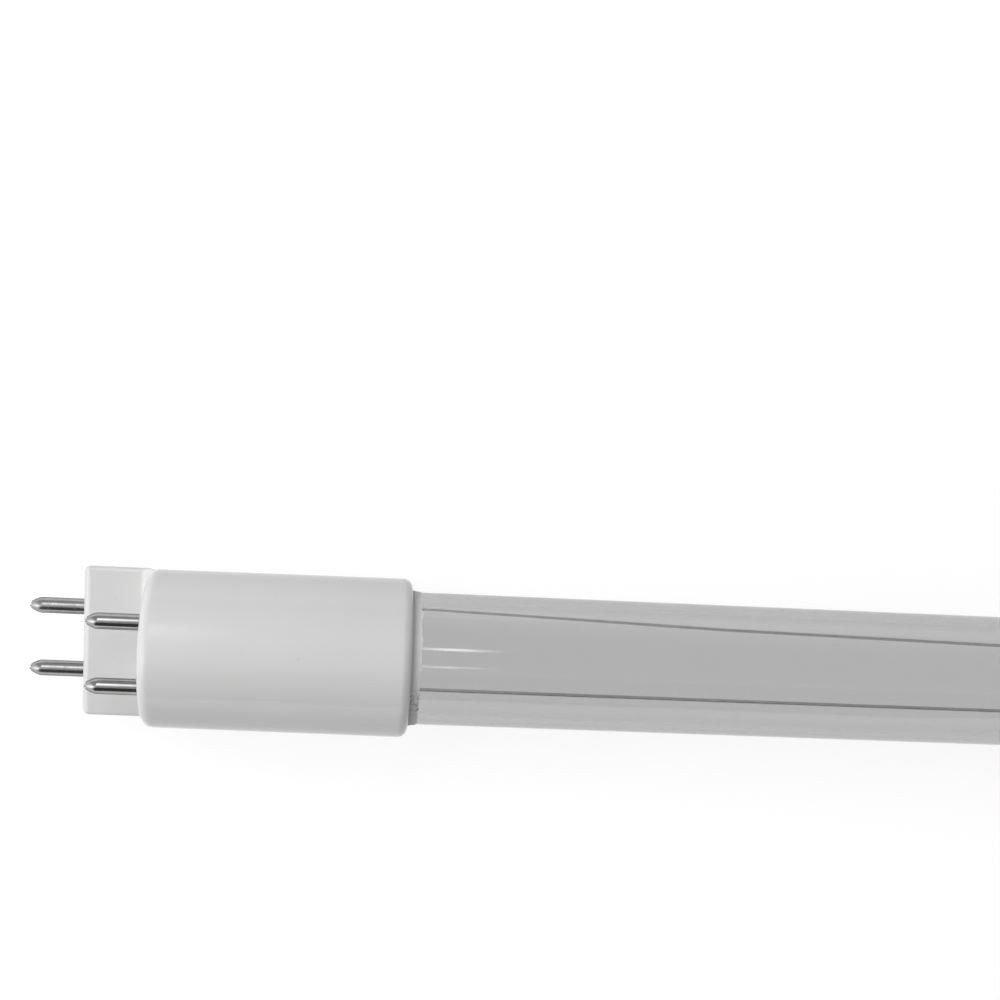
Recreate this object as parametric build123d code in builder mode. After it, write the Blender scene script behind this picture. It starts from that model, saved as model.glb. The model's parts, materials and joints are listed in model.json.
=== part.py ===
from build123d import *
import math
import os

# Straight single-ended germicidal lamp, lying along X with its pins at -X, in millimetres.
# It lies as it comes to rest, on its two ceramic ends, with the raised half of the base and the return wires below.

# Whole lamp
lamp_length = 212.0  # over the two ceramic ends, without the pins

# Quartz tube and its pressed seals
tube_diameter = 15.0
tube_wall = 1.0
blade_thickness = 4.0  # pressed seal
blade_length = 7.0
taper_length = 4.0  # round tube to pressed seal
slit_thickness = 1.1  # where the bore runs out at the seal

# Ceramic ends
ceramic_wall = 1.2
seat_gap = 0.3  # around the tube, filled with cement at the mouth
barrel_length = 29.5  # base, step face to mouth
raised_length = 7.5  # raised half, beyond the step face
flat_offset = 2.0  # flat of the raised half, below the lamp's axis
base_floor = 4.0
step_edge = 1.2
raised_edge = 0.4
cap_length = 30.0
cap_floor = 3.0
cap_end_edge = 2.2
mouth_edge = 1.05
edge_runs = 2  # flats round each ceramic edge
lead_room = 6.0  # base floor to pressed seal
splice_room = 8.0  # cap floor to pressed seal

# Contact pins
pin_diameter = 1.8
pin_projection = 6.0
pin_pitch = 7.3  # square pattern
pin_seated = 5.0  # length inside the ceramic
pin_nose = 1.3
pin_tip_diameter = 0.85
pin_shank_diameter = 1.4  # in the ceramic, below a small shoulder
pin_clearance = 0.02
nose_runs = 2

# Wires and leads
wire_diameter = 0.6
wire_clearance = 0.05
wire_gap = 0.1  # return wire to tube
wire_spread = 45.0  # return wires at the mouths, degrees each side of straight down
wire_lean = 20.0  # the left one has slack: degrees that it hangs nearer straight down at mid-length
lean_bends = ((0.25, 0.7), (0.5, 1.0), (0.75, 0.7))  # shares of its free length and of its lean
groove_clearance = 0.2
lead_nib = 0.15  # lead beyond the pin's tip
lead_run = 1.0  # straight run before a lead bends
lead_sides = 16  # flats on the leads that stay out of sight

# Foils in the seals
foil_width = 2.2
foil_thickness = 0.06
foil_margin = 1.2  # seal end to foil
weld_overlap = 1.0  # lead on foil
seal_clearance = 0.02

# Filaments
filament_inset = 1.0  # centre, inside the ceramic's mouth
filament_radius = 1.4  # to the middle of the coiled wire
filament_wire = 0.7
filament_turns = 6
filament_leg = 1.5
filament_sides = 6
turn_runs = 8  # straight runs in a turn

# Splices in the end cap
sleeve_wall = 0.25
sleeve_corner = 0.3
sleeve_length = 3.5
splice_start = 2.4  # seal to sleeve
splice_tail = 0.3

# Cement
cement_depth = 3.0
cement_proud = 1.1
cement_clearance = 0.02
cement_sides = 48
collar_sides = 12  # around each return wire

# Radii
tube_radius = tube_diameter / 2
bore_radius = tube_radius - tube_wall
seat_radius = tube_radius + seat_gap
ceramic_radius = seat_radius + ceramic_wall
pin_radius = pin_diameter / 2
pin_tip_radius = pin_tip_diameter / 2
shank_radius = pin_shank_diameter / 2
wire_radius = wire_diameter / 2
coil_wire_radius = filament_wire / 2
axis_height = ceramic_radius

# Stations along the lamp
overall_length = lamp_length + pin_projection + lead_nib
raised_face = pin_projection + lead_nib - overall_length / 2
step_face = raised_face + raised_length
base_inner = step_face + base_floor
base_mouth = step_face + barrel_length
cap_end = raised_face + lamp_length
cap_inner = cap_end - cap_floor
cap_mouth = cap_end - cap_length
base_seal = base_inner + lead_room
cap_seal = cap_inner - splice_room
splice_face = cap_seal + splice_start
splice_end = splice_face + sleeve_length + splice_tail
lean_start = base_mouth + cement_proud + lead_run
lean_end = cap_mouth - cement_proud - lead_run

# Places across the lamp
pin_offset = pin_pitch / 2
wire_ring = tube_radius + wire_gap + wire_radius
wire_point = Vector(0, -wire_ring).rotate(Axis.Z, wire_spread)
groove_points = [(wire_point.X, wire_point.Y), (-wire_point.X, wire_point.Y)]
splice_offset = wire_diameter + 2 * wire_clearance
foil_offset = wire_radius + foil_thickness / 2 + seal_clearance
coil_height = pin_pitch + wire_diameter + filament_wire + 2 * wire_clearance

lamp_axis = Axis((0, 0, axis_height), (1, 0, 0))
profile_plane = Plane(origin=(0, 0, axis_height), x_dir=(1, 0, 0), z_dir=(0, -1, 0))
sides = {"left": 1, "right": -1}
ends = {"base": (base_mouth, base_seal, -1), "cap": (cap_mouth, cap_seal, 1)}

os.makedirs("parts", exist_ok=True)


def section(x):
    """Plane across the lamp: its own x is +Y of the lamp, its own y is +Z."""
    return Plane(origin=(x, 0, axis_height), x_dir=(0, 1, 0), z_dir=(1, 0, 0))


def save(part, name):
    part.label = name
    export_step(part, f"parts/{name}.step")


def rounded(x, way, radius, length, depth, runs):
    """Profile points of a rounded rim, from the end face at x to the side."""
    angles = [math.pi / 2 * i / runs for i in range(runs + 1)]
    return [(x + way * length * (1 - math.cos(a)), radius - depth * (1 - math.sin(a))) for a in angles]


def plug(start, start_edge, end, end_edge):
    """Solid ceramic cylinder with a rounded edge at each end."""
    with BuildPart() as body:
        with BuildSketch(profile_plane):
            with BuildLine():
                Polyline(
                    (start, 0),
                    *rounded(start, 1, ceramic_radius, start_edge, start_edge, edge_runs),
                    *reversed(rounded(end, -1, ceramic_radius, end_edge, end_edge, edge_runs)),
                    (end, 0),
                    close=True,
                )
            make_face()
        revolve(axis=lamp_axis)
    return body.part


def seat(mouth, floor):
    """Room in a ceramic end for the tube, with a groove for each return wire."""
    with BuildPart() as room:
        with BuildSketch(section(mouth)):
            Circle(seat_radius)
            with Locations(*groove_points):
                Circle(wire_radius + groove_clearance)
        extrude(amount=floor - mouth)
    return room.part


def pressed_bar(radius, thickness, beyond):
    """Round bar along the lamp that is pressed flat at both ends, and runs on flat beyond the tapers."""
    slope = taper_length / (radius - thickness / 2)
    with BuildPart() as bar:
        with BuildSketch(section(blade_starts["base"] - beyond)):
            Circle(radius)
        extrude(amount=blade_starts["cap"] - blade_starts["base"] + 2 * beyond)
        for name, (mouth, seal, way) in ends.items():
            foot = blade_starts[name]
            with BuildSketch(profile_plane):
                with BuildLine():
                    Polyline(
                        (foot, thickness / 2),
                        (foot - way * slope * (ceramic_radius - thickness / 2), ceramic_radius),
                        (foot + way * ceramic_radius, ceramic_radius),
                        (foot + way * ceramic_radius, thickness / 2),
                        close=True,
                    )
                make_face()
                mirror(about=Plane.XZ)
            extrude(amount=ceramic_radius, both=True, mode=Mode.SUBTRACT)
    return bar.part


def rod(points, flats=0):
    """Wire in straight runs, round or with flats; points are X, and Y and Z from the lamp's axis."""
    with BuildPart() as wire:
        with BuildLine() as route:
            Polyline(*[(x, y, axis_height + z) for x, y, z in points])
        with BuildSketch(Plane(origin=route.line @ 0, z_dir=route.line % 0)):
            if flats:
                RegularPolygon(wire_radius, flats)
            else:
                Circle(wire_radius)
        sweep(path=route.line, transition=Transition.RIGHT)
    return wire.part


# Quartz tube: pressed at both ends, with the bore and the pockets of foils and leads
blade_starts = {name: seal - way * blade_length for name, (mouth, seal, way) in ends.items()}
with BuildPart() as quartz_tube:
    add(pressed_bar(tube_radius, blade_thickness, blade_length))
    add(pressed_bar(bore_radius, slit_thickness, 0), mode=Mode.SUBTRACT)
    for name, (mouth, seal, way) in ends.items():
        with BuildSketch(section(seal - way * foil_margin)):
            with Locations((pin_offset, foil_offset), (-pin_offset, foil_offset)):
                Rectangle(foil_width + 2 * seal_clearance, foil_thickness + 2 * seal_clearance)
        extrude(amount=-way * (blade_length - 2 * foil_margin), mode=Mode.SUBTRACT)
        with BuildSketch(section(seal)):
            with Locations((pin_offset, 0), (-pin_offset, 0)):
                RegularPolygon(wire_radius + seal_clearance, lead_sides)
        extrude(amount=-way * (foil_margin + weld_overlap), mode=Mode.SUBTRACT)
        with BuildSketch(section(blade_starts[name] - way * taper_length)):
            with Locations((pin_offset, 0), (-pin_offset, 0)):
                RegularPolygon(wire_radius + seal_clearance, lead_sides)
        extrude(amount=way * (taper_length + foil_margin + weld_overlap), mode=Mode.SUBTRACT)
save(quartz_tube.part, "quartz_tube")

# Pin base: raised half, barrel, seat of the tube and pin holes
with BuildPart() as pin_base:
    with BuildSketch(section(raised_face)):
        Circle(ceramic_radius)
        with Locations((0, -flat_offset)):
            Rectangle(2 * ceramic_radius, 2 * ceramic_radius, align=(Align.CENTER, Align.MIN), mode=Mode.SUBTRACT)
    extrude(amount=raised_length + base_floor)
    chamfer(pin_base.edges().filter_by(Axis.X) + pin_base.faces().sort_by(Axis.X)[0].edges(), raised_edge)
    add(plug(step_face, step_edge, base_mouth, mouth_edge))
    add(seat(base_mouth, base_inner), mode=Mode.SUBTRACT)
    with BuildSketch(section(raised_face)):
        with GridLocations(pin_pitch, pin_pitch, 2, 2):
            Circle(shank_radius + pin_clearance)
    extrude(amount=raised_length + base_floor, mode=Mode.SUBTRACT)
save(pin_base.part, "pin_base")

# End cap: plain closed cup
with BuildPart() as end_cap:
    add(plug(cap_mouth, mouth_edge, cap_end, cap_end_edge))
    add(seat(cap_mouth, cap_inner), mode=Mode.SUBTRACT)
save(end_cap.part, "end_cap")

# Contact pins: hollow, with a bullet nose, two on the step and two on the raised half
pin_bore = wire_radius + wire_clearance
nose_depth = pin_radius - pin_tip_radius
nose_shares = [i / nose_runs for i in range(nose_runs + 1)]
nose = [(pin_nose * t, pin_tip_radius + nose_depth * math.sin(math.pi / 2 * t)) for t in nose_shares]
for row, face, z in (("step", step_face, pin_offset), ("raised", raised_face, -pin_offset)):
    for side, sign in sides.items():
        y = sign * pin_offset
        tip = face - pin_projection
        tail = face + pin_seated
        with BuildPart() as contact_pin:
            with BuildSketch(profile_plane.offset(-y)):
                with BuildLine():
                    Polyline(
                        (tip, z + pin_bore),
                        *[(tip + x, z + r) for x, r in nose],
                        (face, z + pin_radius),
                        (face, z + shank_radius),
                        (tail, z + shank_radius),
                        (tail, z + pin_bore),
                        close=True,
                    )
                make_face()
            revolve(axis=Axis((0, y, axis_height + z), (1, 0, 0)))
        save(contact_pin.part, f"contact_pin_{row}_{side}")

# Slack of the left return wire, which stays the same distance from the tube
free_length = lean_end - lean_start
slack = {"left": [(lean_start, wire_point.X, wire_point.Y)], "right": []}
for run_share, lean_share in lean_bends:
    point = wire_point.rotate(Axis.Z, -wire_lean * lean_share)
    slack["left"].append((lean_start + free_length * run_share, point.X, point.Y))
slack["left"].append((lean_end, wire_point.X, wire_point.Y))

# Leads, return wires, foils, supports and splices, on each side of the lamp's middle
for side, sign in sides.items():
    y = sign * pin_offset
    ring_y = sign * wire_point.X
    ring_z = wire_point.Y

    base_lead = rod(
        [
            (step_face - pin_projection - lead_nib, y, pin_offset),
            (step_face + pin_seated + lead_run / 2, y, pin_offset),
            (base_seal - lead_run, y, 0),
            (base_seal + foil_margin + weld_overlap, y, 0),
        ],
        lead_sides,
    )
    save(base_lead, f"base_lead_{side}")

    return_wire = rod(
        [
            (raised_face - pin_projection - lead_nib, y, -pin_offset),
            (base_inner + lead_run, y, -pin_offset),
            (base_seal + blade_length, ring_y, ring_z),
            *slack[side],
            (cap_seal - lead_run, ring_y, ring_z),
            (splice_face - lead_run / 2, y, -splice_offset),
            (splice_end, y, -splice_offset),
        ]
    )
    save(return_wire, f"return_wire_{side}")

    cap_lead = rod([(cap_seal - foil_margin - weld_overlap, y, 0), (splice_end, y, 0)], lead_sides)
    save(cap_lead, f"cap_lead_{side}")

    with BuildPart() as crimp_sleeve:
        with BuildSketch(section(splice_face)) as ring:
            with Locations((y, -splice_offset / 2)):
                Rectangle(
                    wire_diameter + 2 * wire_clearance + 2 * sleeve_wall,
                    splice_offset + wire_diameter + 2 * wire_clearance + 2 * sleeve_wall,
                )
                chamfer(ring.vertices(), sleeve_corner)
                Rectangle(
                    wire_diameter + 2 * wire_clearance,
                    splice_offset + wire_diameter + 2 * wire_clearance,
                    mode=Mode.SUBTRACT,
                )
        extrude(amount=sleeve_length)
    save(crimp_sleeve.part, f"crimp_sleeve_{side}")

    for name, (mouth, seal, way) in ends.items():
        with BuildPart() as seal_foil:
            with BuildSketch(section(seal - way * (foil_margin + seal_clearance))):
                with Locations((y, foil_offset)):
                    Rectangle(foil_width, foil_thickness)
            extrude(amount=-way * (blade_length - 2 * foil_margin - 2 * seal_clearance))
        save(seal_foil.part, f"seal_foil_{name}_{side}")

        support_tip = mouth + way * (filament_inset + filament_radius)
        support_weld = seal - way * (blade_length - foil_margin - weld_overlap)
        filament_support = rod([(support_tip, y, 0), (support_weld, y, 0)], lead_sides)
        save(filament_support, f"filament_support_{name}_{side}")

# Filaments: coils across the tube, with a straight leg along each support
runs = filament_turns * turn_runs
for name, (mouth, seal, way) in ends.items():
    centre = mouth + way * filament_inset
    leg_end = centre + way * (filament_radius + filament_leg)
    turns = [
        (
            centre + way * filament_radius * math.cos(2 * math.pi * i / turn_runs),
            coil_height * (i / runs - 0.5),
            axis_height + filament_radius * math.sin(2 * math.pi * i / turn_runs),
        )
        for i in range(runs + 1)
    ]
    with BuildPart() as filament:
        with BuildLine() as coil:
            Polyline((leg_end, -coil_height / 2, axis_height), *turns, (leg_end, coil_height / 2, axis_height))
        with BuildSketch(Plane(origin=coil.line @ 0, z_dir=coil.line % 0)):
            RegularPolygon(coil_wire_radius, filament_sides)
        sweep(path=coil.line, transition=Transition.RIGHT)
    save(filament.part, f"filament_{name}")

# Cement between tube and ceramic, around the wires
for name, (mouth, seal, way) in ends.items():
    with BuildPart() as cement:
        with BuildSketch(section(mouth - way * cement_proud)):
            RegularPolygon(seat_radius - cement_clearance, cement_sides)
            with Locations(*groove_points):
                RegularPolygon(wire_radius + groove_clearance - cement_clearance, collar_sides)
            RegularPolygon(tube_radius + cement_clearance, cement_sides, major_radius=False, mode=Mode.SUBTRACT)
            with Locations(*groove_points):
                RegularPolygon(wire_radius + cement_clearance, collar_sides, major_radius=False, mode=Mode.SUBTRACT)
        extrude(amount=way * (cement_depth + cement_proud))
    save(cement.part, f"cement_{name}")
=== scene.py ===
import bpy
import bmesh
import json
import math
from mathutils import Euler, Matrix, Vector, noise


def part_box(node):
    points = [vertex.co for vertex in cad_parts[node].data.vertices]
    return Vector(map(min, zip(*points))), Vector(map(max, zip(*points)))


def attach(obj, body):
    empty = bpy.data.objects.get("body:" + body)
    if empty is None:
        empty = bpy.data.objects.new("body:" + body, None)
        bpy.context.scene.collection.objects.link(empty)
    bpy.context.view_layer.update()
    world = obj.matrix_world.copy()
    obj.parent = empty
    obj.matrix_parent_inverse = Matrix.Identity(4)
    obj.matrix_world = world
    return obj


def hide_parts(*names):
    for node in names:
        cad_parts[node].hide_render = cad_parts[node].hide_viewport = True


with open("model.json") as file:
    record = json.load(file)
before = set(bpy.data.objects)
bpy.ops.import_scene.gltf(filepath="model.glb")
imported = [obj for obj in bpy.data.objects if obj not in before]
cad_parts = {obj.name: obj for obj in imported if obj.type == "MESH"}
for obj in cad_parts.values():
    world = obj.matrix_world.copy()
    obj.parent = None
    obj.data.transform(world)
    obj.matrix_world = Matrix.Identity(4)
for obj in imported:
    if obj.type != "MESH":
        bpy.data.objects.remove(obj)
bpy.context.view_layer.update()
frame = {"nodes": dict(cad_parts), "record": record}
scene = bpy.context.scene
nodes = frame["nodes"]
mm = 0.001
hair = 0.06 * mm  # narrow strip beside a rounded edge, which keeps the broad face flat in the light
weld = 1e-7  # vertices closer than this become one
slight = 1e-6  # allowance when two lengths are compared

# main sizes come from the loaded nodes
baseLow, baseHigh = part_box("pin_base")
capLow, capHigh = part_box("end_cap")
tubeLow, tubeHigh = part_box("quartz_tube")
ceramicRadius = (baseHigh.y - baseLow.y) / 2
axisHeight = baseLow.z + ceramicRadius
tubeRadius = (tubeHigh.y - tubeLow.y) / 2
lampAxis = Vector((0, 0, axisHeight))
print("frame loaded:", len(nodes), "nodes")


def makePiece(bm, name, material, smoothAngle=40):
    mesh = bpy.data.meshes.new(name)
    bm.to_mesh(mesh)
    bm.free()
    mesh.shade_smooth()
    mesh.set_sharp_from_angle(angle=math.radians(smoothAngle))
    mesh.materials.append(material)
    piece = bpy.data.objects.new(name, mesh)
    scene.collection.objects.link(piece)
    return piece


def joinLamp(piece, slotName, *nodeNames):
    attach(piece, "root")
    if nodeNames:
        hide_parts(*nodeNames)


def turnProfile(bm, profile, centre, steps, closed=False):  # profile holds (x, radius) pairs
    verts = [bm.verts.new((x, centre.y, centre.z + r)) for x, r in profile]
    edges = [bm.edges.new(pair) for pair in zip(verts, verts[1:])]
    if closed:
        edges.append(bm.edges.new((verts[-1], verts[0])))
    bmesh.ops.spin(bm, geom=verts + edges, cent=centre, axis=(1, 0, 0), angle=2 * math.pi, steps=steps,
                   use_merge=True)
    bmesh.ops.remove_doubles(bm, verts=bm.verts[:], dist=weld)
    bmesh.ops.recalc_face_normals(bm, faces=bm.faces[:])


def radiusOf(v, centre):
    return math.hypot(v.co.y - centre.y, v.co.z - centre.z)


def roundRim(bm, centre, x, radius, size, segments):  # bevels the ring of edges at x and radius
    onRim = {v for v in bm.verts
             if abs(v.co.x - x) < slight and abs(radiusOf(v, centre) - radius) < slight}
    rim = [e for e in bm.edges if e.verts[0] in onRim and e.verts[1] in onRim]
    bmesh.ops.bevel(bm, geom=rim, offset=size, offset_type="OFFSET", segments=segments, profile=0.5,
                    affect="EDGES", material=-1, clamp_overlap=False)


# materials, each on Object coordinates
noiseSpan = (0.3, 0.7)  # where most of a noise's values lie


def grey(value):
    return (value, value, value)


def startMaterial(name):
    material = bpy.data.materials.new(name)
    material.use_nodes = True
    tree = material.node_tree
    shader = tree.nodes["Principled BSDF"]
    place = tree.nodes.new("ShaderNodeTexCoord")
    return material, tree, shader, place.outputs["Object"]


def feed(tree, value, socket):  # value is a constant or another node's socket
    if isinstance(value, bpy.types.NodeSocket):
        tree.links.new(value, socket)
    else:
        socket.default_value = value


def addNoise(tree, place, scale, detail, stretch=(1, 1, 1)):
    mapping = tree.nodes.new("ShaderNodeMapping")
    mapping.inputs["Scale"].default_value = stretch
    tree.links.new(place, mapping.inputs["Vector"])
    texture = tree.nodes.new("ShaderNodeTexNoise")
    texture.inputs["Scale"].default_value = scale
    texture.inputs["Detail"].default_value = detail
    tree.links.new(mapping.outputs["Vector"], texture.inputs["Vector"])
    return texture.outputs["Fac"]


def addRamp(tree, factor, positions, colours):
    ramp = tree.nodes.new("ShaderNodeValToRGB")
    while len(ramp.color_ramp.elements) < len(positions):
        ramp.color_ramp.elements.new(0.5)
    for element, position, colour in zip(ramp.color_ramp.elements, positions, colours):
        element.position = position
        element.color = (*colour, 1)
    tree.links.new(factor, ramp.inputs["Fac"])
    return ramp.outputs["Color"]


def addRange(tree, factor, low, high, span=noiseSpan):
    spread = tree.nodes.new("ShaderNodeMapRange")
    spread.inputs["From Min"].default_value, spread.inputs["From Max"].default_value = span
    spread.inputs["To Min"].default_value = low
    spread.inputs["To Max"].default_value = high
    tree.links.new(factor, spread.inputs["Value"])
    return spread.outputs["Result"]


def addMix(tree, factor, first, second, blend="MIX"):
    mix = tree.nodes.new("ShaderNodeMix")
    mix.data_type = "RGBA"
    mix.blend_type = blend
    feed(tree, factor, mix.inputs["Factor"])
    feed(tree, first, mix.inputs["A"])
    feed(tree, second, mix.inputs["B"])
    return mix.outputs["Result"]


def addMath(tree, operation, first, second):
    node = tree.nodes.new("ShaderNodeMath")
    node.operation = operation
    feed(tree, first, node.inputs[0])
    feed(tree, second, node.inputs[1])
    return node.outputs[0]


def addBump(tree, shader, height, strength, distance):
    bump = tree.nodes.new("ShaderNodeBump")
    bump.inputs["Strength"].default_value = strength
    bump.inputs["Distance"].default_value = distance
    tree.links.new(height, bump.inputs["Height"])
    tree.links.new(bump.outputs["Normal"], shader.inputs["Normal"])


glazeLook = {
    "shade": 0.78, "cloud": 0.010, "cloudGrain": 90, "cloudSpan": (0.35, 0.65),
    "speck": 0.75, "speckGrain": 900, "speckSpan": (0.74, 0.80),
    "blueDark": 0.995, "blueLight": 0.998, "blueSpeck": 0.97, "ior": 1.52,
    "rough": (0.05, 0.10), "roughGrain": 260, "bump": 0.06, "bumpDepth": 0.12 * mm, "bumpGrain": 420,
}


def makeGlaze():
    material, tree, shader, place = startMaterial("whiteGlaze")
    look = glazeLook
    light, dark = look["shade"] + look["cloud"], look["shade"] - look["cloud"]
    shades = (dark, dark, dark * look["blueDark"]), (light, light, light * look["blueLight"])
    body = addRamp(tree, addNoise(tree, place, look["cloudGrain"], 3), look["cloudSpan"], shades)
    pits = addRamp(tree, addNoise(tree, place, look["speckGrain"], 1), look["speckSpan"], (grey(0), grey(1)))
    speck = (look["speck"], look["speck"], look["speck"] * look["blueSpeck"], 1)
    tree.links.new(addMix(tree, pits, body, speck), shader.inputs["Base Color"])
    rough = addRange(tree, addNoise(tree, place, look["roughGrain"], 4), *look["rough"])
    tree.links.new(rough, shader.inputs["Roughness"])
    addBump(tree, shader, addNoise(tree, place, look["bumpGrain"], 3), look["bump"], look["bumpDepth"])
    shader.inputs["IOR"].default_value = look["ior"]
    return material


# grain and stretch set the tool marks, and edge how bright the metal is at a glancing angle
metals = {
    "pinPolish": {"shade": (0.44, 0.435, 0.43), "rough": (0.06, 0.16), "edge": 0.15,
                  "grain": 2600, "stretch": (1, 0.06, 0.06), "bump": 0.05},
    "pinSatin": {"shade": (0.44, 0.435, 0.43), "rough": (0.16, 0.28), "edge": 0.15,
                 "grain": 2600, "stretch": (1, 0.06, 0.06), "bump": 0.05},
    "drawnNickel": {"shade": (0.95, 0.94, 0.92), "rough": (0.08, 0.16), "edge": 1.0,
                    "grain": 3000, "stretch": (0.03, 1, 1), "bump": 0.10},
    "crimpNickel": {"shade": (0.70, 0.69, 0.67), "rough": (0.16, 0.30), "edge": 1.0,
                    "grain": 1800, "stretch": (1, 1, 1), "bump": 0.08},
    "rolledFoil": {"shade": (0.42, 0.42, 0.44), "rough": (0.28, 0.42), "edge": 1.0,
                   "grain": 2400, "stretch": (0.05, 1, 1), "bump": 0.08},
}
metalBlotch = {"grain": 0.35, "shade": 0.86, "bumpDepth": 0.03 * mm}


def makeMetal(name):
    spec = metals[name]
    material, tree, shader, place = startMaterial(name)
    lines = addNoise(tree, place, spec["grain"], 4, spec["stretch"])
    blotch = addNoise(tree, place, spec["grain"] * metalBlotch["grain"], 3)
    dull = tuple(part * metalBlotch["shade"] for part in spec["shade"])
    tree.links.new(addRamp(tree, blotch, noiseSpan, (dull, spec["shade"])), shader.inputs["Base Color"])
    tree.links.new(addRange(tree, lines, *spec["rough"]), shader.inputs["Roughness"])
    addBump(tree, shader, lines, spec["bump"], metalBlotch["bumpDepth"])
    shader.inputs["Metallic"].default_value = 1.0
    shader.inputs["Specular Tint"].default_value = (*grey(spec["edge"]), 1)
    return material


coilLook = {
    "light": (0.78, 0.77, 0.74), "dark": (0.50, 0.49, 0.46), "grain": 5200, "span": (0.32, 0.62),
    "rough": (0.75, 0.95), "bump": 0.5, "bumpDepth": 0.04 * mm,
}


def makeCoilLook():  # dry, rough, speckled coating
    material, tree, shader, place = startMaterial("coatedCoil")
    look = coilLook
    mottle = addNoise(tree, place, look["grain"], 6)
    body = addRamp(tree, mottle, look["span"], (look["dark"], look["light"]))
    tree.links.new(body, shader.inputs["Base Color"])
    tree.links.new(addRange(tree, mottle, *look["rough"]), shader.inputs["Roughness"])
    addBump(tree, shader, mottle, look["bump"], look["bumpDepth"])
    return material


# the cement's grey lightens from the mouth outwards; its darkness at the mouth is partly the cement's own
# grey and partly painted shade of the crevice beside the ceramic's rim
cementLook = {
    "cementAndShadeAtMouth": 0.54, "atEdge": 0.88, "pit": 0.40, "pitSpan": (0.40, 0.50), "run": 1.0 * mm, "grain": 2600,
    "rough": (0.55, 0.85), "bump": 0.45, "bumpDepth": 0.08 * mm,
    "patchFrom": -5.6 * mm, "patchTo": -1.6 * mm, "patchStops": (0.0, 0.3, 0.7, 1.0),
}


def makeCementLook(name, mouthX, way):
    material, tree, shader, place = startMaterial(name)
    look = cementLook
    split = tree.nodes.new("ShaderNodeSeparateXYZ")
    tree.links.new(place, split.inputs[0])
    edgeX = mouthX - way * look["run"]
    outwards = addRange(tree, split.outputs["X"], 0.0, 1.0, (mouthX, edgeX))
    body = addRamp(tree, outwards, (0.0, 1.0), (grey(look["cementAndShadeAtMouth"]), grey(look["atEdge"])))
    grain = addNoise(tree, place, look["grain"], 5)
    pits = addRamp(tree, grain, look["pitSpan"], (grey(1), grey(0)))
    across = addRange(tree, split.outputs["Y"], 0.0, 1.0, (look["patchFrom"], look["patchTo"]))
    patch = addRamp(tree, across, look["patchStops"], (grey(0), grey(1), grey(1), grey(0)))
    share = addMath(tree, "MULTIPLY", pits, patch)  # crumbly low at one side only
    tree.links.new(addMix(tree, share, body, (*grey(look["pit"]), 1)), shader.inputs["Base Color"])
    tree.links.new(addRange(tree, grain, *look["rough"]), shader.inputs["Roughness"])
    addBump(tree, shader, grain, look["bump"], look["bumpDepth"])
    return material


whiteGlaze = makeGlaze()
pinPolish = makeMetal("pinPolish")
pinSatin = makeMetal("pinSatin")
drawnNickel = makeMetal("drawnNickel")
crimpNickel = makeMetal("crimpNickel")
rolledFoil = makeMetal("rolledFoil")
coatedCoil = makeCoilLook()
baseCement = makeCementLook("baseCement", baseHigh.x, -1)
capCement = makeCementLook("capCement", capLow.x, 1)
print("glaze, metals, coating and cement ready")


# ceramic ends
seat = {
    "radius": 7.8 * mm, "mouthRound": 1.05 * mm, "skin": 0.3 * mm,
    "wireRing": 7.9 * mm, "wireSpread": 45, "grooveRadius": 0.5 * mm, "grooveReach": 0.2 * mm,
}
ceramicBase = {
    "barrel": 29.5 * mm, "floor": 4 * mm, "stepRound": 1.2 * mm, "draft": 0.14 * mm, "steps": 240,
    "roundSegments": 8, "raised": 7.5 * mm, "flatDrop": 2 * mm, "raisedRound": 0.8 * mm, "rings": 7,
    "raisedCorner": 0.45 * mm, "leastCorner": 0.08 * mm, "cornerSteps": 8, "arcSteps": 90,
    "footRound": 1.2 * mm, "footTurn": 45, "footSteps": 8, "sink": 0.34 * mm, "broadFace": 20 * mm * mm,
}
ceramicCap = {"floor": 3 * mm, "endRound": 2.2 * mm, "draft": 0.14 * mm, "steps": 240, "roundSegments": 10}


def cutGrooves(bm, mouthX, way, depth):  # room for the two return wires, at the bottom of the seat
    low, high = seat["radius"] - seat["grooveReach"], ceramicRadius - seat["grooveReach"]
    for v in bm.verts:
        fromMouth = (v.co.x - mouthX) * way
        r = radiusOf(v, lampAxis)
        if r > high or r < low or not -slight < fromMouth < depth + slight:
            continue
        angle = math.atan2(v.co.y, axisHeight - v.co.z)
        off = abs(angle) - math.radians(seat["wireSpread"])
        inside = seat["grooveRadius"] ** 2 - (seat["wireRing"] * math.sin(off)) ** 2
        if inside <= 0:
            continue
        groove = seat["wireRing"] * math.cos(off) + math.sqrt(inside)
        if r >= groove:
            continue
        v.co.y = groove * math.sin(angle)
        v.co.z = axisHeight - groove * math.cos(angle)
        if fromMouth < seat["mouthRound"]:  # stay on the rounded rim
            over = groove - (ceramicRadius - seat["mouthRound"])
            back = seat["mouthRound"] - math.sqrt(seat["mouthRound"] ** 2 - over ** 2) if over > 0 else 0
            v.co.x = mouthX + way * back
    bmesh.ops.remove_doubles(bm, verts=bm.verts[:], dist=weld)


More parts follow.
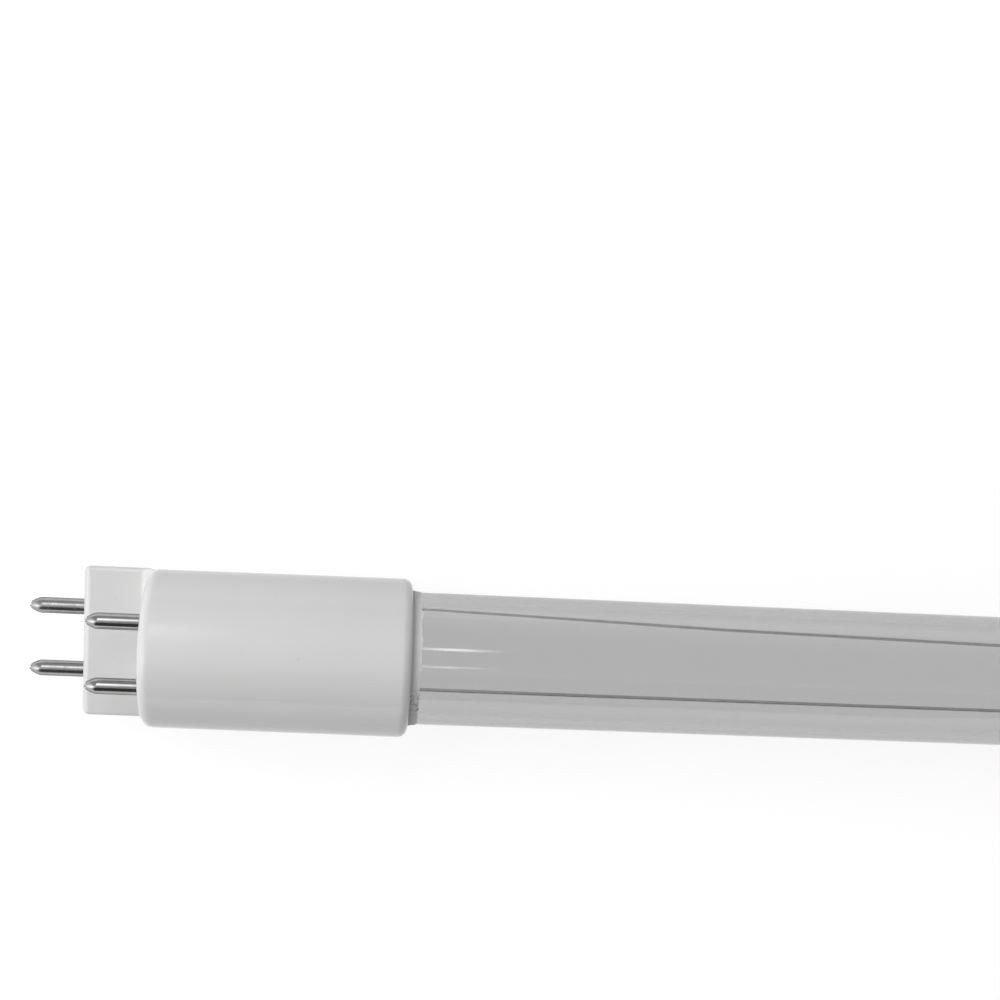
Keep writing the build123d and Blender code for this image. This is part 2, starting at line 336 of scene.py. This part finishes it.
def turnCeramic(closedX, mouthX, floorThick, closedRound, spec):
    way = 1 if closedX > mouthX else -1
    bm = bmesh.new()
    floorX = closedX - way * floorThick
    sideFrom, sideTo = closedX - way * (closedRound + hair), mouthX + way * (seat["mouthRound"] + hair)
    profile = [(closedX, 0), (closedX, ceramicRadius - closedRound - hair), (closedX, ceramicRadius)]
    profile += [(sideFrom, ceramicRadius), (sideTo, ceramicRadius)]
    profile += [(mouthX, ceramicRadius), (mouthX, seat["radius"]), (floorX, seat["radius"]), (floorX, 0)]
    turnProfile(bm, profile, lampAxis, spec["steps"])
    roundRim(bm, lampAxis, closedX, ceramicRadius, closedRound, spec["roundSegments"])
    roundRim(bm, lampAxis, mouthX, ceramicRadius, seat["mouthRound"], spec["roundSegments"])
    for v in bm.verts:  # the mould's draft, slightly slimmer towards the closed end
        share = (v.co.x - mouthX) / (closedX - mouthX)
        if radiusOf(v, lampAxis) > seat["radius"] + seat["skin"] or abs(v.co.x - closedX) < floorThick / 2:
            shrink = 1 - spec["draft"] / ceramicRadius * share
            v.co.y *= shrink
            v.co.z = axisHeight + (v.co.z - axisHeight) * shrink
    cutGrooves(bm, mouthX, way, abs(floorX - mouthX))
    return bm


def raisedStations(spec):  # each ring's place along the raised half, its inset and the rise of its flat
    size = spec["raisedRound"]
    turns = [math.pi / 2 * i / spec["rings"] for i in range(spec["rings"] + 1)]
    stations = [(size * (1 - math.cos(a)), size * (1 - math.sin(a)), 0) for a in turns]
    foot, slope = spec["footRound"], math.radians(spec["footTurn"])  # inner rounding at the step's foot
    turns = [slope * i / spec["footSteps"] for i in range(spec["footSteps"] + 1)]
    stations += [(spec["raised"] - foot + foot * math.sin(a), 0, foot * (1 - math.cos(a))) for a in turns]
    lastX, lastRise = stations[-1][0], stations[-1][2]
    run = spec["raised"] + spec["stepRound"] - lastX
    stations.append((lastX + run, spec["sink"], lastRise + run * math.tan(slope)))  # ends inside the barrel
    return stations


def raisedOutline(spec, inset, rise):  # section from the lamp's axis, its two upper corners rounded
    corner = max(spec["raisedCorner"] - inset, spec["leastCorner"])
    radius = ceramicRadius - inset
    drop = spec["flatDrop"] - rise + inset + corner
    side = math.sqrt((radius - corner) ** 2 - drop ** 2)
    meet = math.atan2(-drop, side)
    count = spec["cornerSteps"]
    turns = [math.pi / 2 + (meet - math.pi / 2) * i / count for i in range(count + 1)]
    right = [(side + corner * math.cos(a), corner * math.sin(a) - drop) for a in turns]
    sweep = [meet - (math.pi + 2 * meet) * i / spec["arcSteps"] for i in range(1, spec["arcSteps"])]
    arc = [(radius * math.cos(a), radius * math.sin(a)) for a in sweep]
    return right + arc + [(-y, z) for y, z in reversed(right)]


def makeBase():
    spec = ceramicBase
    stepX = baseHigh.x - spec["barrel"]
    bm = turnCeramic(stepX, baseHigh.x, spec["floor"], spec["stepRound"], spec)
    rings = []
    for x, inset, rise in raisedStations(spec):
        outline = raisedOutline(spec, inset, rise)
        rings.append([bm.verts.new((baseLow.x + x, y, axisHeight + z)) for y, z in outline])
    block = [bm.faces.new(rings[0]), bm.faces.new(rings[-1])]
    for one, two in zip(rings, rings[1:]):
        for i in range(len(one)):
            block.append(bm.faces.new((one[i - 1], one[i], two[i], two[i - 1])))
    bmesh.ops.recalc_face_normals(bm, faces=block)
    broad = [f for f in block if f.calc_area() > spec["broadFace"]]
    bmesh.ops.inset_individual(bm, faces=broad, thickness=hair)
    joinLamp(makePiece(bm, "glazedBase", whiteGlaze), "ceramic_glaze", "pin_base")


def makeCap():
    spec = ceramicCap
    bm = turnCeramic(capHigh.x, capLow.x, spec["floor"], spec["endRound"], spec)
    joinLamp(makePiece(bm, "glazedCap", whiteGlaze), "ceramic_glaze", "end_cap")


makeBase()
makeCap()
print("ceramic ends made")


# quartz tube, pressed flat inside the ceramic ends
quartzTube = {
    "wall": 1 * mm, "blade": 7 * mm, "taper": 4 * mm, "bladeThick": 4 * mm, "slitThick": 1.1 * mm,
    "steps": 160, "taperRings": 8,
}
# the grey tint on the tube's outer surface is painted shade, standing in for darker surroundings seen through
# the glass
quartzLook = {
    "paintedShadeTint": 0.50, "clear": 0.97, "lines": 0.008, "lineGrain": 600, "lineStretch": (0.004, 1, 1),
    "edge": 0.25, "shadeEdgeFrom": 0.32, "ior": 1.46,
}


def makeQuartz():
    material, tree, shader, place = startMaterial("fusedQuartz")
    look = quartzLook
    drawn = addNoise(tree, place, look["lineGrain"], 1, look["lineStretch"])  # faint lines along the tube
    shades = grey(look["paintedShadeTint"] - look["lines"]), grey(look["paintedShadeTint"] + look["lines"])
    paintedShadeTint = addRamp(tree, drawn, noiseSpan, shades)
    glance = tree.nodes.new("ShaderNodeLayerWeight")
    edge = addRamp(tree, glance.outputs["Facing"], (look["shadeEdgeFrom"], 1.0), (grey(1), grey(look["edge"])))
    paintedShadeTint = addMix(tree, 1.0, paintedShadeTint, edge, "MULTIPLY")  # painted shade, darker towards the tube's edges
    across = tree.nodes.new("ShaderNodeMapping")  # distance from the lamp's axis tells bore from outside
    across.inputs["Location"].default_value = (0, 0, -axisHeight)
    across.inputs["Scale"].default_value = (0, 1, 1)
    tree.links.new(place, across.inputs["Vector"])
    distance = tree.nodes.new("ShaderNodeVectorMath")
    distance.operation = "LENGTH"
    tree.links.new(across.outputs["Vector"], distance.inputs[0])
    middle = tubeRadius - quartzTube["wall"] / 2
    outside = addMath(tree, "GREATER_THAN", distance.outputs["Value"], middle)
    # only the outer surface takes the painted shade tint, the bore stays nearly clear
    tree.links.new(addMix(tree, outside, (*grey(look["clear"]), 1), paintedShadeTint), shader.inputs["Base Color"])
    shader.inputs["Roughness"].default_value = 0.0
    shader.inputs["Transmission Weight"].default_value = 1.0
    shader.inputs["IOR"].default_value = look["ior"]
    return material


def pressEnds(bm, radius, thickness):
    spec = quartzTube
    squeeze = thickness / 2 / radius
    for v in bm.verts:
        inset = min(v.co.x - tubeLow.x, tubeHigh.x - v.co.x) - spec["blade"]
        opening = min(max(inset / spec["taper"], 0), 1)
        v.co.z = axisHeight + (v.co.z - axisHeight) * (squeeze + (1 - squeeze) * opening)


def makeTube():
    spec = quartzTube
    bm = bmesh.new()
    count = spec["taperRings"]
    left = [tubeLow.x + spec["blade"] + spec["taper"] * i / count for i in range(count + 1)]
    left.append(left[-1] + hair)
    right = [tubeHigh.x - (x - tubeLow.x) for x in reversed(left)]
    along = [tubeLow.x] + left + right + [tubeHigh.x]
    outside = [(tubeLow.x, 0)] + [(x, tubeRadius) for x in along] + [(tubeHigh.x, 0)]
    turnProfile(bm, outside, lampAxis, spec["steps"])
    pressEnds(bm, tubeRadius, spec["bladeThick"])
    inner = bmesh.new()
    boreRadius = tubeRadius - spec["wall"]
    bore = [(left[0], 0)] + [(x, boreRadius) for x in left + right] + [(right[-1], 0)]
    turnProfile(inner, bore, lampAxis, spec["steps"])
    pressEnds(inner, boreRadius, spec["slitThick"])
    bmesh.ops.reverse_faces(inner, faces=inner.faces[:])  # the bore's faces look into the bore
    boreMesh = bpy.data.meshes.new("bore")
    inner.to_mesh(boreMesh)
    inner.free()
    bm.from_mesh(boreMesh)
    bpy.data.meshes.remove(boreMesh)
    joinLamp(makePiece(bm, "quartzTube", fusedQuartz), "quartz", "quartz_tube")


fusedQuartz = makeQuartz()
makeTube()
print("quartz tube made")


# contact pins with bullet noses and an open tip
contactPin = {
    "radius": 0.9 * mm, "shank": 0.7 * mm, "bore": 0.35 * mm, "free": 6 * mm, "nose": 1.3 * mm,
    "tipRadius": 0.425 * mm, "tipRound": 0.05 * mm, "tipSegments": 3, "steps": 64, "noseRings": 8,
}


def makePin(nodeName, material):
    spec = contactPin
    low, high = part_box(nodeName)
    centre = Vector((0, (low.y + high.y) / 2, (low.z + high.z) / 2))
    face = low.x + spec["free"]
    tip, bulge = spec["tipRadius"], spec["radius"] - spec["tipRadius"]
    shares = [i / spec["noseRings"] for i in range(spec["noseRings"] + 1)]
    nose = [(low.x + spec["nose"] * t, tip + bulge * math.sin(math.pi / 2 * t)) for t in shares]
    profile = [(low.x, spec["bore"])] + nose + [(nose[-1][0] + hair, spec["radius"])]
    profile += [(face, spec["radius"]), (face, spec["shank"])]
    profile += [(high.x, spec["shank"]), (high.x, spec["bore"])]
    bm = bmesh.new()
    turnProfile(bm, profile, centre, spec["steps"], closed=True)
    roundRim(bm, centre, low.x, tip, spec["tipRound"], spec["tipSegments"])
    joinLamp(makePiece(bm, nodeName.replace("contact_pin", "pin"), material), "pin_nickel", nodeName)


for side in ("left", "right"):
    makePin("contact_pin_step_" + side, pinPolish)
    makePin("contact_pin_raised_" + side, pinSatin)
print("pins made")


# filaments as coiled coils
filament = {
    "radius": 1.4 * mm, "turns": 6, "small": 0.28 * mm, "wire": 0.055 * mm, "pitch": 0.2 * mm,
    "leg": 1.5 * mm, "steps": 9, "endRoom": 0.35 * mm, "sideRoom": 0.48 * mm, "smoothAngle": 80,
}


def makeFilament(nodeName, way):
    spec = filament
    low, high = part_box(nodeName)
    room = spec["radius"] + spec["endRoom"]
    centreX = low.x + room if way > 0 else high.x - room
    halfWidth = (high.y - low.y) / 2 - spec["sideRoom"]
    around = 2 * math.pi * spec["radius"]
    climb = 2 * halfWidth / spec["turns"]
    length = spec["turns"] * math.hypot(around, climb)
    total = length + 2 * spec["leg"]
    count = int(total / spec["pitch"]) * spec["steps"]
    across = Vector((0, 1, 0))
    points = []
    for i in range(count + 1):
        s = total * i / count - spec["leg"]
        t = min(max(s / length, 0), 1)
        a = 2 * math.pi * spec["turns"] * t
        radial = Vector((way * math.cos(a), 0, math.sin(a)))
        spot = Vector((centreX, halfWidth * (2 * t - 1), axisHeight)) + radial * spec["radius"]
        if s < 0 or s > length:  # straight leg along the support
            spot.x += way * max(-s, s - length)
            radial = Vector((0, 0, 1))
        b = 2 * math.pi * i / spec["steps"]
        points.append(spot + (radial * math.cos(b) + across * math.sin(b)) * spec["small"])
    curve = bpy.data.curves.new(nodeName, "CURVE")
    curve.dimensions = "3D"
    curve.bevel_depth = spec["wire"]
    curve.bevel_resolution = 1
    spline = curve.splines.new("POLY")
    spline.points.add(len(points) - 1)
    for place, point in zip(spline.points, points):
        place.co = (*point, 1)
    holder = bpy.data.objects.new("coilRoute", curve)
    scene.collection.objects.link(holder)
    bpy.context.view_layer.update()
    mesh = bpy.data.meshes.new_from_object(holder.evaluated_get(bpy.context.evaluated_depsgraph_get()))
    bpy.data.objects.remove(holder)
    bm = bmesh.new()
    bm.from_mesh(mesh)
    piece = makePiece(bm, nodeName.replace("_", "Coil_"), coatedCoil, spec["smoothAngle"])
    joinLamp(piece, "coated_tungsten", nodeName)


makeFilament("filament_base", -1)
makeFilament("filament_cap", 1)
print("filaments made")


# cement, a rough bead in the gap at each mouth
cementBead = {
    "proud": 1.0 * mm, "ragged": 0.12 * mm, "lump": 0.002, "depth": 2.6 * mm, "lip": 0.1 * mm,
    "inner": 7.53 * mm, "thin": 7.57 * mm, "outer": 7.76 * mm, "swell": (0.06 * mm, 0.02 * mm),
    "rows": (0.0, 0.25, 0.5, 0.75, 1.0), "steps": 360, "smoothAngle": 60,
    "seed": 4.0, "seedStep": 40, "waves": 9, "fractal": (1.0, 2.0, 4), "lumpScale": 3,
}


def makeCement(nodeName, mouthX, way, material):  # way points into the ceramic
    spec = cementBead
    bm = bmesh.new()
    deepX, thin = mouthX + way * spec["depth"], spec["thin"]
    profile = [(deepX, spec["inner"]), (deepX, spec["outer"]), (mouthX + way * spec["lip"], spec["outer"])]
    skin = [spec["outer"], thin + spec["swell"][0], thin + spec["swell"][1], thin, spec["inner"]]
    profile += [(mouthX - way * spec["proud"] * t, r) for t, r in zip(spec["rows"], skin)]
    turnProfile(bm, profile, lampAxis, spec["steps"], closed=True)
    for v in bm.verts:
        out = (mouthX - v.co.x) * way
        if out <= slight:
            continue
        share = out / spec["proud"]
        angle = math.atan2(v.co.y, v.co.z - axisHeight)
        ring, start = spec["waves"], spec["seed"] + mouthX * spec["seedStep"]
        spot = Vector((math.cos(angle) * ring, math.sin(angle) * ring, start))
        reach = noise.fractal(spot, *spec["fractal"]) * spec["ragged"]
        v.co.x -= way * reach * share
        lumpSpot = spot * spec["lumpScale"] + Vector((0, 0, share * spec["lumpScale"]))
        lump = 1 + spec["lump"] * noise.noise(lumpSpot) * share
        r = max(radiusOf(v, lampAxis) * lump, spec["inner"])
        v.co.y, v.co.z = r * math.sin(angle), axisHeight + r * math.cos(angle)
    bmesh.ops.recalc_face_normals(bm, faces=bm.faces[:])
    joinLamp(makePiece(bm, nodeName + "_bead", material, spec["smoothAngle"]), "cement", nodeName)


makeCement("cement_base", baseHigh.x, -1, baseCement)
makeCement("cement_cap", capLow.x, 1, capCement)
print("cement made")


# finishes of the CAD nodes
finishes = {
    "lead_nickel": drawnNickel, "molybdenum": rolledFoil, "pin_nickel": crimpNickel,
    "coated_tungsten": coatedCoil, "cement": baseCement, "quartz": fusedQuartz, "ceramic_glaze": whiteGlaze,
}
for row in frame["record"]["subparts"]:
    mesh = nodes[row["node"]].data
    mesh.materials.clear()
    mesh.materials.append(finishes[row["material_slot"]])
print("finishes set")


# floor and world: white to the camera, metal and glass, and the floor keeps the lamp's soft shadow
studio = {"floorSize": 6.0, "floorGlow": 0.82, "floorDiffuse": 0.30, "worldFill": 0.35, "worldWhite": 1.0}


def clearTree(owner, outputType):
    owner.use_nodes = True
    tree = owner.node_tree
    tree.nodes.clear()
    return tree, tree.nodes.new(outputType).inputs["Surface"]


def addGlow(tree, strength):
    glow = tree.nodes.new("ShaderNodeEmission")
    glow.inputs["Strength"].default_value = strength
    return glow.outputs[0]


def blendShaders(tree, factor, first, second):
    blend = tree.nodes.new("ShaderNodeMixShader")
    for value, socket in zip((factor, first, second), blend.inputs):
        tree.links.new(value, socket)
    return blend.outputs[0]


def seenBackground(tree):  # 1 for what the camera, metal and glass see of the white surroundings
    path = tree.nodes.new("ShaderNodeLightPath")
    seen = path.outputs["Is Camera Ray"]
    for ray in ("Is Glossy Ray", "Is Transmission Ray"):
        seen = addMath(tree, "MAXIMUM", seen, path.outputs[ray])
    return seen


def makeFloor():
    bm = bmesh.new()
    bmesh.ops.create_grid(bm, x_segments=1, y_segments=1, size=studio["floorSize"] / 2)
    material = bpy.data.materials.new("paperFloor")
    tree, surface = clearTree(material, "ShaderNodeOutputMaterial")
    diffuse = tree.nodes.new("ShaderNodeBsdfDiffuse")
    diffuse.inputs["Color"].default_value = (*grey(studio["floorDiffuse"]), 1)
    shine = blendShaders(tree, seenBackground(tree), addGlow(tree, 0.0), addGlow(tree, studio["floorGlow"]))
    both = tree.nodes.new("ShaderNodeAddShader")
    tree.links.new(diffuse.outputs[0], both.inputs[0])
    tree.links.new(shine, both.inputs[1])
    tree.links.new(both.outputs[0], surface)
    floor = makePiece(bm, "floor", material)


def makeWorld():
    world = bpy.data.worlds.new("studio")
    scene.world = world
    tree, surface = clearTree(world, "ShaderNodeOutputWorld")
    shades = []
    for strength in (studio["worldFill"], studio["worldWhite"]):
        shade = tree.nodes.new("ShaderNodeBackground")
        shade.inputs["Color"].default_value = (1, 1, 1, 1)
        shade.inputs["Strength"].default_value = strength
        shades.append(shade.outputs[0])
    tree.links.new(blendShaders(tree, seenBackground(tree), *shades), surface)


lights = {
    "softKey": {"place": (-0.26, 0.22, 0.27), "aim": (-0.085, 0, 0.009), "size": (0.40, 0.30), "power": 0.86},
    "sideFill": {"place": (-0.60, -0.10, 0.22), "aim": (-0.09, 0, 0.009), "size": (0.4, 0.3), "power": 1.1},
}


def makeLight(name, spec):
    lamp = bpy.data.lights.new(name, "AREA")
    lamp.shape = "RECTANGLE"
    lamp.size, lamp.size_y = spec["size"]
    lamp.energy = spec["power"]
    holder = bpy.data.objects.new(name, lamp)
    scene.collection.objects.link(holder)
    look = Vector(spec["aim"]) - Vector(spec["place"])
    turn = look.to_track_quat("-Z", "Y").to_matrix()
    holder.matrix_world = Matrix.Translation(spec["place"]) @ turn.to_4x4()
    holder.visible_glossy = False  # the cards below are what shines in glaze and metal
    holder.visible_transmission = False


# cards for reflections, of which smallGlow is also seen through the glass
cards = {
    "greyCeiling": {"place": (0, 0, 1.40), "size": (4.0, 4.0), "glow": 0.48},
    "greyWall": {"place": (0, 1.70, 0.60), "size": (5.0, 1.20), "glow": 0.48, "lean": 90},
    "darkCard": {"place": (-0.10, -0.62, 0.60), "size": (1.20, 1.00), "glow": 0.07},
    "smallGlow": {"place": (-0.012, 0.352, 0.62), "size": (0.08, 0.11), "glow": 14.0, "soft": True,
                  "through": True},
    "pinGlow": {"place": (-0.245, 0.42, 0.62), "size": (0.24, 0.96), "glow": 4.6, "soft": True},
    "noseGlow": {"place": (-0.60, -0.08, 0.45), "size": (0.90, 1.20), "glow": 3.3, "lean": -45, "turn": 90,
                 "soft": True},
}


def addFade(tree, spec, tilt):  # 1 at the card's middle, 0 at its edges
    place = tree.nodes.new("ShaderNodeTexCoord")
    centred = tree.nodes.new("ShaderNodeMapping")
    centred.vector_type = "TEXTURE"
    centred.inputs["Location"].default_value = spec["place"]
    centred.inputs["Rotation"].default_value = tilt
    centred.inputs["Scale"].default_value = (spec["size"][0] / 2, spec["size"][1] / 2, 1)
    fade = tree.nodes.new("ShaderNodeTexGradient")
    fade.gradient_type = "QUADRATIC_SPHERE"
    tree.links.new(place.outputs["Object"], centred.inputs["Vector"])
    tree.links.new(centred.outputs["Vector"], fade.inputs["Vector"])
    return fade.outputs["Fac"]


def makeCard(name, spec):
    bm = bmesh.new()
    bmesh.ops.create_grid(bm, x_segments=1, y_segments=1, size=0.5)
    bmesh.ops.scale(bm, verts=bm.verts[:], vec=(*spec["size"], 1))
    tilt = Euler((math.radians(spec.get("lean", 0)), 0, math.radians(spec.get("turn", 0))))
    bmesh.ops.rotate(bm, verts=bm.verts[:], cent=(0, 0, 0), matrix=tilt.to_matrix())
    bmesh.ops.translate(bm, verts=bm.verts[:], vec=spec["place"])
    material = bpy.data.materials.new(name)
    tree, surface = clearTree(material, "ShaderNodeOutputMaterial")
    shine = addGlow(tree, spec["glow"])
    if spec.get("soft"):
        clear = tree.nodes.new("ShaderNodeBsdfTransparent")
        shine = blendShaders(tree, addFade(tree, spec, tilt), clear.outputs[0], shine)
    tree.links.new(shine, surface)
    card = makePiece(bm, name, material)
    card.visible_camera = False
    card.visible_diffuse = False
    card.visible_transmission = spec.get("through", False)
    card.visible_shadow = False


view = {
    "place": (-0.072597, 0.037677, 0.169082), "lens": 51.897, "sensor": 36.0, "shift": (0.0342, 0.0562),
    "right": (0.99609, 0.05596, 0.06841), "up": (-0.04429, 0.98586, -0.16164),
    "back": (-0.07649, 0.15797, 0.98448), "clip": (0.005, 50),
}


def makeCamera():
    camera = bpy.data.cameras.new("photoView")
    camera.lens = view["lens"]
    camera.sensor_width = view["sensor"]
    camera.shift_x, camera.shift_y = view["shift"]
    camera.clip_start, camera.clip_end = view["clip"]
    holder = bpy.data.objects.new("photoView", camera)
    scene.collection.objects.link(holder)
    turn = Matrix((view["right"], view["up"], view["back"])).transposed()
    holder.matrix_world = Matrix.Translation(view["place"]) @ turn.to_4x4()
    scene.camera = holder


makeFloor()
makeWorld()
for lightName, lightSpec in lights.items():
    makeLight(lightName, lightSpec)
for cardName, cardSpec in cards.items():
    makeCard(cardName, cardSpec)
makeCamera()
scene.view_settings.view_transform = "Standard"
print("studio and camera set")

bpy.context.view_layer.update()
